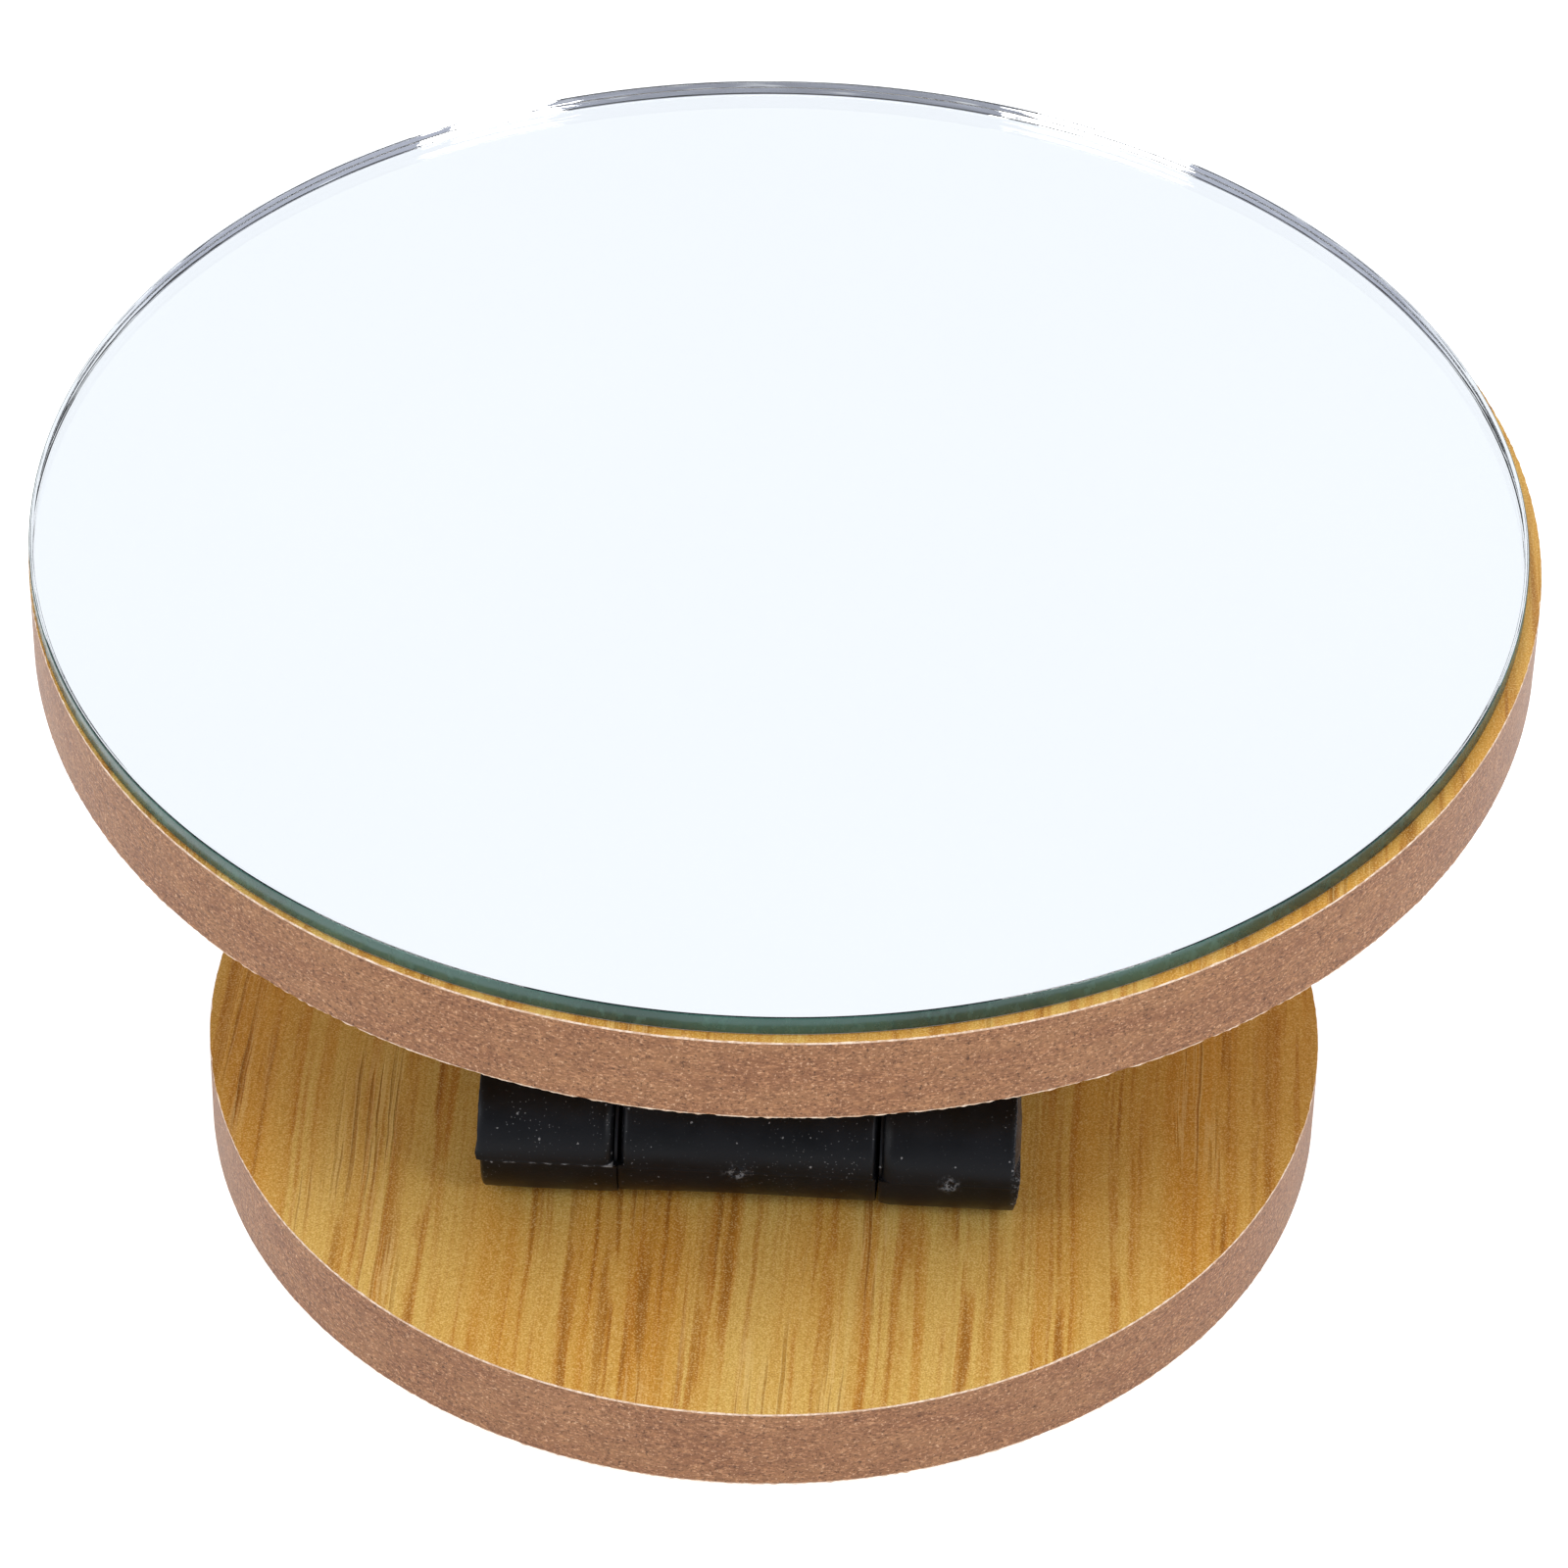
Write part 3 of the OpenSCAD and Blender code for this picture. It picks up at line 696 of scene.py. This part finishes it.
def knuckle(x0, x1, radius, bore, ends, gate=None, parting=FRONT, waist=0.0):
    """One knuckle of the moulded barrel, as a tube from x0 to x1.

    ends holds, for its left and its right end, the size of the edge's rounding, how far along the
    knuckle the end's own shape reaches, and a function of the angle that says how far the rim stands
    out, and how crisp it is from 0 to 1. The mould's halves meet at the angle parting. gate is the x
    of a torn gate mark on the front, and waist how much slimmer the middle is.
    """
    bends = (0.0, 0.1, 0.25, 0.45, 0.7, 1.0)
    edge0, edge1 = ends[0][0], ends[1][0]
    left, right = x0 + edge0, x1 - edge1
    count = max(2, round((right - left) / (0.6 * MM)))
    body = [left + (right - left) * i / count for i in range(1, count)]
    if gate is not None:
        body = [x for x in body if abs(x - gate) > 2 * MM]
        body = sorted(body + [gate + i * 0.1 * MM for i in range(-20, 21)])

    def rounded(edge, depth):
        return radius - edge + math.sqrt(edge ** 2 - (edge - depth) ** 2)

    start = [(rounded(edge0, edge0 * b), x0 + edge0 * b) for b in bends]
    stop = [(rounded(edge1, edge1 * b), x1 - edge1 * b) for b in reversed(bends)]
    outline = [(bore, x0)] + start + [(radius, x) for x in body] + stop + [(bore, x1)]
    last = len(outline) - 1

    def wobble(point, angle):
        r, x = outline[point]
        if point in (0, last):
            edge, reach, lip = ends[0 if point == 0 else 1]
            return 0.0, lip(FRONT)[0] * MM if reach > edge else 0.0
        more = along = 0.0
        turn = Vector((3 * math.cos(angle), 3 * math.sin(angle), x * 170))
        from_seam = (angle - parting) * radius
        for end, (edge, reach, lip) in zip((x0, x1), ends):
            if abs(x - end) < reach:
                out, crisp = lip(angle)
                along += out * (1 - abs(x - end) / reach) * MM
                more += (radius - r) * crisp
        across = min(1.0, abs(x - (x0 + x1) / 2) / ((x1 - x0) / 2))
        more += 0.03 * MM * noise.noise(turn) - waist * (1 - across ** 2)
        if abs(from_seam) < 0.2 * MM:
            broken = 0.6 + 0.6 * noise.noise(Vector((x * 500, 1.0, 0)))
            more += 0.05 * MM * (1 - abs(from_seam) / (0.2 * MM)) * broken
        if gate is not None:
            off = (angle - FRONT) * radius
            away = math.hypot((x - gate) * 0.75, off)
            if away < 1.5 * MM:
                torn = noise.noise(Vector((x * 2300, off * 2300, 5.0)))
                ring = math.exp(-((away - 0.8 * MM) / (0.3 * MM)) ** 2)
                core = 1 - smooth(away, 0.6 * MM, 1.3 * MM)
                more += (0.10 * ring + 0.22 * torn * core - 0.08 * core) * MM
        return more, along

    return along_pin(lathe(outline, knuckle_angles(), closed=True, wobble=wobble))


def leaf_outline(spans, front_y, back_y, half, corner):
    """The plate of a leaf from above: comb teeth at the front that reach the pin, rounded behind."""
    outline = []
    at_y = PIN.y if spans[0][0] <= -half else front_y
    outline.append((-half, at_y))
    for left, right in spans:
        if left > -half:
            outline += [(left, front_y), (left, PIN.y)]
        if right < half:
            outline += [(right, PIN.y), (right, front_y)]
    outline.append((half, PIN.y if spans[-1][1] >= half else front_y))
    for side, start in ((1, 0), (-1, 90)):
        for step in range(9):
            turn = math.radians(start + 90 * step / 8)
            outline.append((side * (half - corner) + corner * math.cos(turn),
                            back_y - corner + corner * math.sin(turn)))
    return outline


SCREW_LOW, SCREW_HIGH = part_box("lower_leaf_screws")
SCREW_HEAD = 4 * MM
SCREW_R = 2 * MM
SCREW_HEAD_H = 2.4 * MM
SCREW_PLACES = [(x, y) for x in (SCREW_LOW.x + SCREW_HEAD, SCREW_HIGH.x - SCREW_HEAD)
                for y in (SCREW_LOW.y + SCREW_HEAD, SCREW_HIGH.y - SCREW_HEAD)]
ROUND_STEPS = 96


def flip(z):
    """Mirrors about the height z, for what points up instead of down."""
    return at(0, 0, z) @ Matrix.Scale(-1, 4, (0, 0, 1)) @ at(0, 0, -z)


def cross(width, arm, depth, z):
    """The driver recess of a screw whose head's top is at z."""
    bars = []
    for turn in (0, FRONT):
        outline = [(-arm, -width / 2), (arm, -width / 2), (arm, width / 2), (-arm, width / 2)]
        bars.append(moved(prism(outline, z - depth, z + depth), Matrix.Rotation(turn, 4, "Z")))
    return boolean(bars[0], bars[1], "UNION")


def sunk_screw(z, length):
    """A countersunk screw pointing down, its head's top at z, with a slightly dished head."""
    r, head = SCREW_R, SCREW_HEAD
    tip = 2 * r
    outline = [(0, z - length), (0.2 * MM, z - length), (r, z - length + tip), (r, z - SCREW_HEAD_H)]
    outline += [(head, z - 0.3 * MM), (head, z - 0.08 * MM), (head - 0.08 * MM, z)]
    outline += [(head * 0.6, z - 0.05 * MM), (0, z - 0.1 * MM)]
    return boolean(lathe(outline, 64), cross(0.9 * MM, 2.2 * MM, 1.3 * MM, z), "DIFFERENCE")


def sunk_hole(z, length):
    """The space of a countersunk screw, a hair wider."""
    wide = SCREW_HEAD + SEAT
    outline = [(0, z - length), (SCREW_R + SEAT, z - length), (SCREW_R + SEAT, z - SCREW_HEAD_H),
               (wide, z - 0.3 * MM), (wide, z + 1 * MM), (0, z + 1 * MM)]
    return lathe(outline, ROUND_STEPS)


def each(places, make):
    """One mesh of what make() returns, at each (x, y) of places."""
    return joined([moved(make(), at(x, y)) for x, y in places])


BUMPER_LOW, BUMPER_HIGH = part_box("stop_bumpers")
BUMPER_R = (BUMPER_HIGH.y - BUMPER_LOW.y) / 2
BUMPER_PLACES = [(x, (BUMPER_LOW.y + BUMPER_HIGH.y) / 2)
                 for x in (BUMPER_LOW.x + BUMPER_R, BUMPER_HIGH.x - BUMPER_R)]
LEAF_T = 6 * MM
LEAF_CORNER = 4 * MM
LEAF_HALF = BARREL_HIGH.x - 0.4 * MM
LEAF_FRONT = PIN.y + BARREL_R + 2 * SWING
MOULD_ROUND = 0.35 * MM
LEFT_SEAM = FRONT - PARTING_RISE / BARREL_R


def upper_half(angle, seam):
    """1 above the parting line, 0 below it."""
    return 1.0 if math.cos(angle) > math.cos(seam) + 1e-6 or angle > TURN * 0.75 else 0.0


def left_outer_lip(angle):
    """The left end: the lower half stops short, and flash hangs on just above the parting line."""
    upper = upper_half(angle, LEFT_SEAM)
    flash = math.exp(-((angle - LEFT_SEAM + 0.12) / 0.09) ** 2) * upper
    ragged = 0.04 * noise.noise(Vector((angle * 11, 0.0, 4.0)))
    return 0.23 - 0.24 * flash + 0.35 * (1 - upper) + ragged, 0.8 * upper


def left_inner_lip(angle):
    """The left knuckle's inner end: the lower half stands out, crisp, to the middle knuckle."""
    upper = upper_half(angle, LEFT_SEAM)
    burr = math.exp(-((angle - LEFT_SEAM) / 0.03) ** 2)
    return 0.38 * (1 - upper) - 0.10 * upper + 0.10 * burr, 0.9 * (1 - upper)


def middle_left_lip(angle):
    upper = upper_half(angle, LEFT_SEAM)
    return 0.38 * upper, 0.9 * (1 - upper)


def middle_right_lip(angle):
    upper = upper_half(angle, FRONT)
    return -0.30 - 0.10 * upper, 0.7 * (1 - upper)


def right_inner_lip(angle):
    upper = upper_half(angle, FRONT)
    return -0.45 + 0.20 * upper, 0.7 * (1 - upper)


def right_outer_lip(angle):
    """The right end: cut a little askew, shorter below, its rim rough and crumbled."""
    crumbs = noise.noise(Vector((19 * math.cos(angle), 19 * math.sin(angle), 2.0)))
    fine = noise.noise(Vector((47 * math.cos(angle), 47 * math.sin(angle), 7.0)))
    askew = 0.75 * smooth(angle, FRONT - 0.3, FRONT + 0.9)
    return -(0.12 + askew + 0.13 * crumbs + 0.08 * fine), 0.0


def lower_leaf():
    """The leaf on the base, with the barrel's two outer knuckles."""
    z0 = BARREL_LOW.z
    z1 = z0 + LEAF_T
    inner = WASHER_HIGH.x
    outline = leaf_outline([(-LEAF_HALF, -inner), (inner, LEAF_HALF)], LEAF_FRONT, BARREL_HIGH.y,
                           LEAF_HALF, LEAF_CORNER)
    plate = prism(outline, z0, z1, MOULD_ROUND)
    plate = boolean(plate, each(SCREW_PLACES, lambda: sunk_hole(z1, 0.02)), "DIFFERENCE")
    pockets = each(BUMPER_PLACES, lambda: rod(BUMPER_R + SEAT, BUMPER_LOW.z, z1 + MM, ROUND_STEPS))
    plate = boolean(plate, pockets, "DIFFERENCE")
    bore = PIN_R + SEAT
    plate = boolean(plate, along_pin(rod(bore, -PAST_END, PAST_END, ROUND_STEPS)), "DIFFERENCE")
    left_ends = ((1.2 * MM, 1.2 * MM, left_outer_lip), (1.5 * MM, 1.5 * MM, left_inner_lip))
    right_ends = ((1.5 * MM, 1.5 * MM, right_inner_lip), (0.3 * MM, 5 * MM, right_outer_lip))
    left = knuckle(BARREL_LOW.x, -inner, BARREL_R, bore, left_ends, parting=LEFT_SEAM)
    right = knuckle(inner, BARREL_HIGH.x, BARREL_R, bore, right_ends, gate=GATE_RIGHT)
    whole = boolean(boolean(plate, left, "UNION"), right, "UNION")
    piece("hinge_lower_leaf_moulding", whole, "base", [PLASTIC], "lower_hinge_leaf")


def upper_leaf():
    """The leaf under the carrier board, with the barrel's middle knuckle."""
    low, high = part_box("upper_hinge_leaf")
    z1 = high.z
    z0 = z1 - LEAF_T
    half = MIDDLE_HIGH.x
    outline = leaf_outline([(-half, half)], LEAF_FRONT, high.y, LEAF_HALF, LEAF_CORNER)
    plate = prism(outline, z0, z1, MOULD_ROUND)
    holes = moved(each(SCREW_PLACES, lambda: sunk_hole(z0, 0.02)), flip(z0))
    plate = boolean(plate, holes, "DIFFERENCE")
    middle = knuckle(-half, half, BARREL_R - SWING, SLEEVE_R + SEAT,
                     ((1.2 * MM, 1.2 * MM, middle_left_lip), (1.0 * MM, 1.0 * MM, middle_right_lip)),
                     gate=GATE_MIDDLE, waist=0.2 * MM)
    whole = boolean(plate, middle, "UNION")
    bore = along_pin(rod(SLEEVE_R + SEAT, -PAST_END, PAST_END, ROUND_STEPS))
    whole = boolean(whole, bore, "DIFFERENCE")
    piece("hinge_upper_leaf_moulding", whole, "tilt_carrier", [PLASTIC], "upper_hinge_leaf")


def tube(x0, x1, outer, inner, bevel):
    """A plain bush or washer along the pin, its outer edges broken."""
    outline = [(inner, x0), (outer - bevel, x0), (outer, x0 + bevel), (outer, x1 - bevel),
               (outer - bevel, x1), (inner, x1)]
    return along_pin(lathe(outline, ROUND_STEPS, closed=True))


def hinge_inside():
    """Pin, friction sleeve, washers, rubber stops and the leaves' screws."""
    cone = 0.5 * MM
    pin = [(0, PIN_LOW.x), (PIN_R - cone, PIN_LOW.x), (PIN_R, PIN_LOW.x + cone),
           (PIN_R, PIN_HIGH.x - cone), (PIN_R - cone, PIN_HIGH.x), (0, PIN_HIGH.x)]
    piece("hinge_pin_rod", along_pin(lathe(pin, ROUND_STEPS)), "base", [BRIGHT], "hinge_pin")
    sleeve = tube(MIDDLE_LOW.x, MIDDLE_HIGH.x, SLEEVE_R, PIN_R + RUNNING, 0.2 * MM)
    piece("hinge_friction_sleeve", sleeve, "tilt_carrier", [NYLON], "friction_sleeve")
    outer = (WASHER_HIGH.z - WASHER_LOW.z) / 2
    thick = 0.44 * MM
    washers = joined([tube(x, x + thick, outer, PIN_R + SEAT, 0.05 * MM)
                      for x in (WASHER_LOW.x, WASHER_HIGH.x - thick)])
    piece("hinge_washers", washers, "base", [PLASTIC], "friction_washers")
    z0, z1 = BUMPER_LOW.z, BUMPER_HIGH.z
    dome = [(BUMPER_R * math.cos(a), z1 - 0.9 * MM + 0.9 * MM * math.sin(a))
            for a in [math.radians(5 + 17 * i) for i in range(5)]]
    stop = [(0, z0), (BUMPER_R, z0), (BUMPER_R, z1 - 0.9 * MM)] + dome + [(0, z1)]
    piece("hinge_stop_bumpers", each(BUMPER_PLACES, lambda: lathe(stop, 64)), "base", [RUBBER],
          "stop_bumpers")
    length = SCREW_HIGH.z - SCREW_LOW.z
    z = SCREW_HIGH.z
    piece("hinge_lower_screws", each(SCREW_PLACES, lambda: sunk_screw(z, length)), "base", [ZINC],
          "lower_leaf_screws")
    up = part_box("upper_leaf_screws")[0].z
    screws = moved(each(SCREW_PLACES, lambda: sunk_screw(up, length)), flip(up))
    piece("hinge_upper_screws", screws, "tilt_carrier", [ZINC], "upper_leaf_screws")


lower_leaf()
upper_leaf()
hinge_inside()


# ---------------------------------------------------------------- bearing

PLATE_T = 1.5 * MM
BALL_R = 2.5 * MM
RACE_R = 40 * MM
RACE_HALF = 5 * MM
RACE_H = PLATE_HIGH.z - PLATE_LOW.z - PLATE_T
DISH_R = 15 * MM
DISH_Z = 0.75 * MM
RIVET_R = 6 * MM
HOLE_R = 1.77 * MM
BALLS = 18


def ring_places(first):
    """Four places on the screw circle, from the angle first on."""
    return [(HOLE_RING * math.cos(first + i * FRONT), HOLE_RING * math.sin(first + i * FRONT))
            for i in range(4)]


def plate(centre_r, hole_places, access):
    """A pressed bearing plate lying at z = 0: rolled rim, ball groove, dish and screw holes."""
    t, rise = PLATE_T, 0.3 * MM
    groove = []
    for step in range(13):
        turn = math.radians(-64 + 128 * step / 12)
        r = BALL_R + RUNNING
        groove.append((RACE_R - r * math.sin(turn), t + BALL_R - r * math.cos(turn)))
    top = t + RACE_H
    profile = [(centre_r, DISH_Z), (DISH_R - t, DISH_Z), (DISH_R - t + rise, 0), (PLATE_R - rise, 0),
               (PLATE_R, rise), (PLATE_R, t - rise), (PLATE_R - rise, t),
               (RACE_R + RACE_HALF, t), (RACE_R + RACE_HALF, top - rise),
               (RACE_R + RACE_HALF - rise, top)]
    profile += [p for p in groove if p[1] < top - 0.05 * MM]
    profile += [(RACE_R - RACE_HALF + rise, top), (RACE_R - RACE_HALF, top - rise),
                (RACE_R - RACE_HALF, t), (DISH_R + rise, t), (DISH_R - rise, DISH_Z + t),
                (centre_r, DISH_Z + t)]
    sheet = lathe(profile, 288, closed=True)
    holes = each(hole_places, lambda: rod(HOLE_R, -MM, t + MM, 48))
    sheet = boolean(sheet, holes, "DIFFERENCE")
    if access:
        wide = rod(ACCESS_R, -MM, t + 0.9 * MM, 64)
        sheet = boolean(sheet, moved(wide, at(HOLE_RING, 0)), "DIFFERENCE")
    return sheet


def pan_screw(z, length):
    """A pan-head screw pointing down, the underside of its head at z."""
    r, head, tall = 1.75 * MM, 3.2 * MM, 1.7 * MM
    dome = [(head * math.cos(a), z + tall * (0.35 + 0.65 * math.sin(a)))
            for a in [math.radians(15 * i) for i in range(6)]]
    outline = [(0, z - length), (0.2 * MM, z - length), (r, z - length + 2 * r), (r, z), (head, z)]
    outline += dome + [(0, z + tall)]
    return boolean(lathe(outline, 64), cross(0.8 * MM, 1.9 * MM, 1.0 * MM, z + tall), "DIFFERENCE")


def bearing():
    """Both plates with their screws, the rivet, the cage and its balls."""
    centre = at(TOP_AXIS.x, TOP_AXIS.y)
    low_places, high_places = ring_places(FRONT / 2), ring_places(0)
    z0 = PLATE_LOW.z
    z1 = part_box("bearing_upper_plate")[1].z
    lower = moved(plate(RIVET_R + SEAT, low_places, True), centre @ at(0, 0, z0))
    piece("bearing_plate_lower", lower, "tilt_carrier", [ZINC], "bearing_lower_plate")
    upper = moved(plate(RIVET_R + RUNNING, high_places, False), centre @ flip(z1) @ at(0, 0, z1))
    piece("bearing_plate_upper", upper, "turntable", [ZINC], "bearing_upper_plate")
    length = 9 * MM
    screws = moved(each(low_places, lambda: pan_screw(z0 + PLATE_T, length)), centre)
    piece("bearing_screws_lower", screws, "tilt_carrier", [ZINC], "bearing_lower_screws")
    z = z1 - PLATE_T
    screws = moved(each(high_places, lambda: pan_screw(z, length)), centre @ flip(z))
    piece("bearing_screws_upper", screws, "turntable", [ZINC], "bearing_upper_screws")

    low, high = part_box("bearing_rivet")
    flange, bore, lip = (high.x - low.x) / 2, 4.5 * MM, 0.15 * MM
    foot, head = low.z + 0.7 * MM, high.z - 0.6 * MM
    outline = [(bore, low.z), (flange - lip, low.z), (flange, low.z + lip), (flange, foot),
               (RIVET_R, foot), (RIVET_R, head), (flange, head), (flange, high.z - lip),
               (flange - lip, high.z), (bore + 2 * lip, high.z), (bore, high.z - 2 * lip)]
    rivet = moved(lathe(outline, 144, closed=True), centre)
    piece("bearing_rivet_eyelet", rivet, "tilt_carrier", [BRASS], "bearing_rivet")

    places = [(RACE_R * math.cos(TURN * i / BALLS), RACE_R * math.sin(TURN * i / BALLS))
              for i in range(BALLS)]
    low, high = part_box("ball_cage")
    outer = (high.x - low.x) / 2
    inner, lip = 2 * RACE_R - outer, 0.1 * MM
    outline = [(inner, low.z), (outer - lip, low.z), (outer, low.z + lip), (outer, high.z - lip),
               (outer - lip, high.z), (inner, high.z)]
    pockets = each(places, lambda: rod(BALL_R + SEAT, low.z - MM, high.z + MM, 48))
    cage = boolean(lathe(outline, 288, closed=True), pockets, "DIFFERENCE")
    piece("bearing_ball_cage", moved(cage, centre), "ball_ring", [BRASS], "ball_cage")
    middle = (low.z + high.z) / 2
    arc = [math.radians(-90 + 7.5 * i) for i in range(25)]
    ball = [(BALL_R * math.cos(a) if 0 < i < 24 else 0, middle + BALL_R * math.sin(a))
            for i, a in enumerate(arc)]
    balls = moved(each(places, lambda: lathe(ball, 48)), centre)
    piece("bearing_ball_set", balls, "ball_ring", [BRIGHT], "bearing_balls")


bearing()


# ---------------------------------------------------------------- pad

def base_pad():
    """The anti-slip pad: soft edge, and a fine tooth under it."""
    x, y, radius, z0, z1 = round_node("base_pad")
    soft = 0.4 * MM
    outline = [(0, z0), (radius - soft, z0), (radius, z0 + soft), (radius, z1), (0, z1)]
    piece("base_pad_sheet", moved(lathe(outline, 360), at(x, y)), "base", [RUBBER], "base_pad")


base_pad()


# ---------------------------------------------------------------- studio

def floor():
    """A wide pale table."""
    mesh = prism([(-3, -3), (3, -3), (3, 3), (-3, 3)], -0.02, 0.0)
    made = solid_object("floor", mesh)
    look = Look("floor_white")
    tone = look.noise(look.stretch(3, 3, 3), detail=2)
    look.set(Base_Color=look.blend(tone, tint("#adaeb0"), tint("#abadaf")), Roughness=0.9)
    look.set(Emission_Color=(1.0, 1.0, 1.0, 1.0), Emission_Strength=0.85)
    made.data.materials.append(look.material)


def softbox(name, place, target, size, watts, colour=(1.0, 1.0, 1.0)):
    """An area light at a place, facing a target."""
    data = bpy.data.lights.new(name, "AREA")
    data.shape, data.size, data.size_y = "RECTANGLE", size[0], size[1]
    data.energy, data.color = watts, colour
    made = bpy.data.objects.new(name, data)
    made.location = place
    made.rotation_euler = (Vector(target) - Vector(place)).to_track_quat("-Z", "Y").to_euler()
    bpy.context.scene.collection.objects.link(made)


def white_room():
    """Bluish white all round and above, with a grey band in front and at the sides."""
    world = bpy.data.worlds.new("studio")
    bpy.context.scene.world = world
    world.use_nodes = True
    room = Graph(world.node_tree, "Generated")
    y, z = room.axis("Y"), room.axis("Z")
    belt = room.times(room.between(z, 0.36, 0.50), room.between(z, 0.90, 0.78),
                      room.between(y, 0.55, 0.25))
    front = room.between(y, -0.45, -0.90)
    low = room.times(room.between(z, 0.42, 0.30), room.between(y, 0.6, 0.3))
    light = room.times(room.math("SUBTRACT", 1.0, room.times(belt, 0.55)),
                       room.math("SUBTRACT", 1.0, room.times(front, 0.45)),
                       room.math("ADD", 1.0, room.times(low, 0.2)))
    shader = room.tree.nodes["Background"]
    room.feed(shader.inputs["Strength"], light)
    tone = room.blend(belt, (0.955, 0.985, 1.03, 1.0), (0.90, 0.95, 1.15, 1.0))
    room.feed(shader.inputs["Color"], tone)


def camera():
    """The view of the stand from the front, a little to the right, looking down."""
    pitch, azimuth, roll = math.radians(40.74), math.radians(2.40), math.radians(1.09)
    distance, lens = 0.8763, 159.35
    aim = Vector((0.0027, -0.0160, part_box("mirror_glass")[1].z))
    ahead = Vector((-math.sin(azimuth) * math.cos(pitch), math.cos(azimuth) * math.cos(pitch),
                    -math.sin(pitch)))
    level = Vector((math.cos(azimuth), math.sin(azimuth), 0))
    upright = level.cross(ahead)
    right = level * math.cos(roll) + upright * math.sin(roll)
    up = upright * math.cos(roll) - level * math.sin(roll)
    data = bpy.data.cameras.new("camera")
    data.lens, data.sensor_width, data.clip_start = lens, 36, 0.01
    made = bpy.data.objects.new("camera", data)
    turn = Matrix((right, up, -ahead)).transposed().to_4x4()
    made.matrix_world = Matrix.Translation(aim - ahead * distance) @ turn
    bpy.context.scene.collection.objects.link(made)
    bpy.context.scene.camera = made


floor()
white_room()
softbox("top_light", (0.0, 0.0, 1.3), (0.0, 0.0, 0.0), (1.0, 1.0), 8.0)
softbox("left_light", (-0.9, -0.7, 0.8), (0.0, 0.0, 0.03), (0.6, 0.6), 5.6)
softbox("right_light", (0.9, -0.7, 0.8), (0.0, 0.0, 0.03), (0.45, 0.6), 6.6)
camera()
bpy.context.scene.view_settings.view_transform = "Standard"
